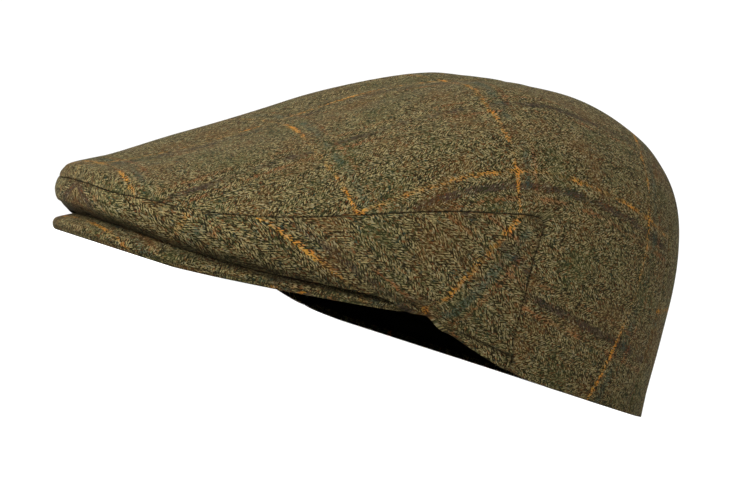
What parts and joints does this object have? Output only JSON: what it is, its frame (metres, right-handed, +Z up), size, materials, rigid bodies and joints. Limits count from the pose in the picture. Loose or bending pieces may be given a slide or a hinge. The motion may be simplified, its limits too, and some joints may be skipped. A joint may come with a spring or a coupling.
{
  "type": "flat cap",
  "caption": "Flat cap of herringbone tweed with an overcheck: a domed top panel that runs down to the nape, side panels, a short stiff peak and a sweatband round the open head space.",
  "frame": {"origin": "on the table the cap stands on, under the middle of its length and width", "axes": "+Z up, -Y the way the peak points, +X the wearer's left"},
  "size_m": [0.179, 0.2658, 0.1168],
  "materials": {
    "tweed": "brushed wool, herringbone weave with orange and rust check lines",
    "sweatband_cloth": "smooth dark brown band"
  },
  "bodies": {
    "root": {"top_panel": "tweed", "side_panel_left": "tweed", "side_panel_right": "tweed", "peak": "tweed", "sweatband": "sweatband_cloth"}
  },
  "joints": []
}
